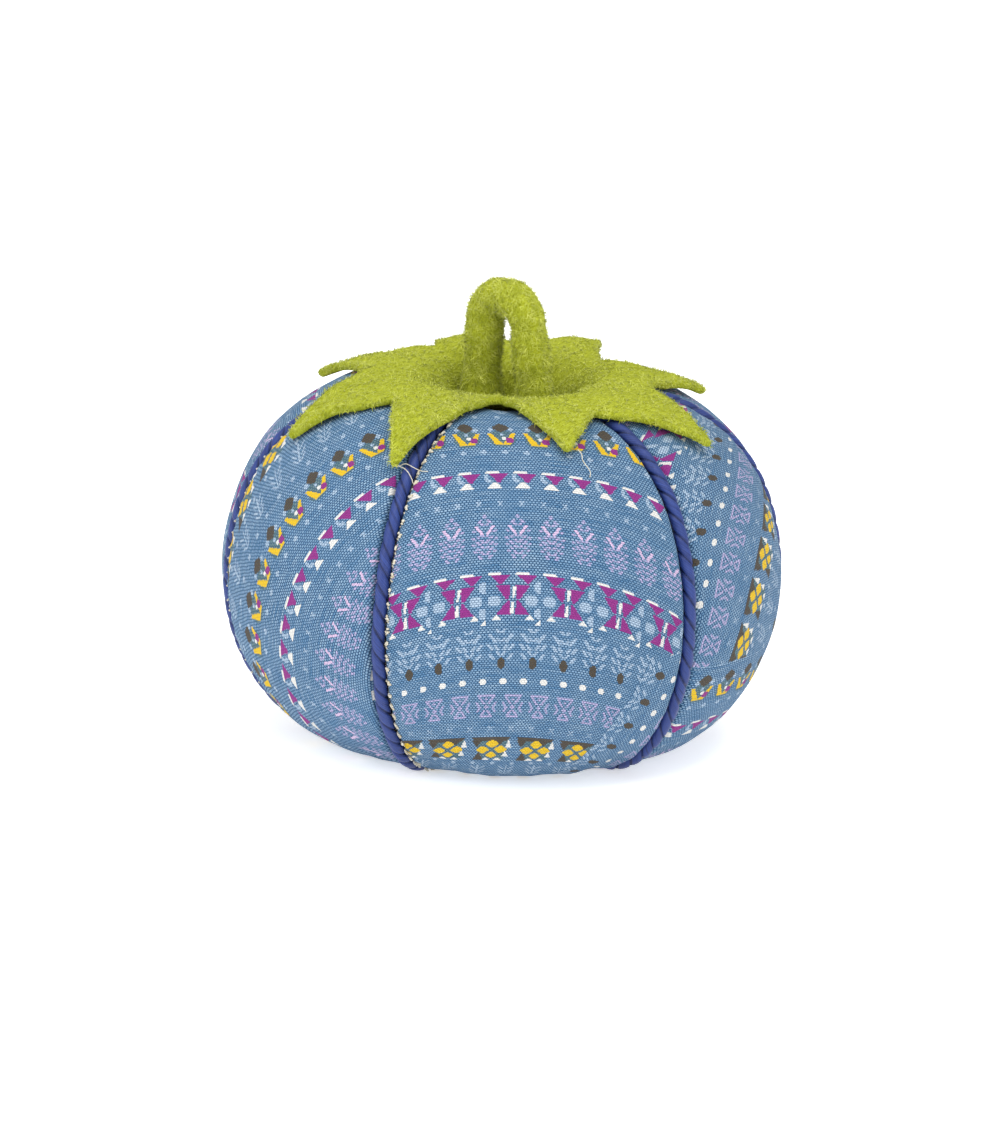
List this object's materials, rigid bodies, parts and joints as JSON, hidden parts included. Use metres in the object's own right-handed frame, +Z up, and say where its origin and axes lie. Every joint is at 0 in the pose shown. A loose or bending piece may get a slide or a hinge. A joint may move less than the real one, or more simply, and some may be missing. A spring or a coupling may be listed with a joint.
{
  "type": "pin cushion",
  "caption": "Tomato-shaped pin cushion of printed cotton segments over firm stuffing, with twisted cords in the grooves, a felt calyx and a felt hanging loop.",
  "frame": {"origin": "centre of the ring under the cushion that it rests on, which is the middle of the bounding box's bottom", "axes": "+Z up along the cushion's axis; X runs through both feet of the felt loop; Y is the way through the loop's eye"},
  "size_m": [0.09, 0.09, 0.0755],
  "materials": {
    "printed_cotton": "plain-weave cotton, blue, with small printed bands",
    "twisted_cord": "two-ply twisted cord, royal blue, slight gloss",
    "green_felt": "wool-type felt, lime green, fibrous",
    "sewing_thread": "cream spun sewing thread",
    "stuffing": "firmly packed fibre filling"
  },
  "bodies": {
    "cushion": {"stuffing_core": "stuffing", "cotton_panel_1": "printed_cotton", "cotton_panel_2": "printed_cotton", "cotton_panel_3": "printed_cotton", "cotton_panel_4": "printed_cotton", "cotton_panel_5": "printed_cotton", "cotton_panel_6": "printed_cotton", "groove_cord_1": "twisted_cord", "groove_cord_2": "twisted_cord", "groove_cord_3": "twisted_cord", "groove_cord_4": "twisted_cord", "groove_cord_5": "twisted_cord", "groove_cord_6": "twisted_cord", "seam_thread_1": "sewing_thread", "seam_thread_2": "sewing_thread", "seam_thread_3": "sewing_thread", "seam_thread_4": "sewing_thread", "seam_thread_5": "sewing_thread", "seam_thread_6": "sewing_thread", "centre_tie": "sewing_thread", "felt_calyx": "green_felt"},
    "loop": {"felt_loop": "green_felt"}
  },
  "joints": [
    {"name": "loop_bend", "type": "hinge", "parent": "cushion", "child": "loop", "pos_m": [0, 0, 0.05673], "axis": [1, 0, 0], "range_deg": [-45, 45], "stiffness_Nm_per_rad": 0.002}
  ]
}
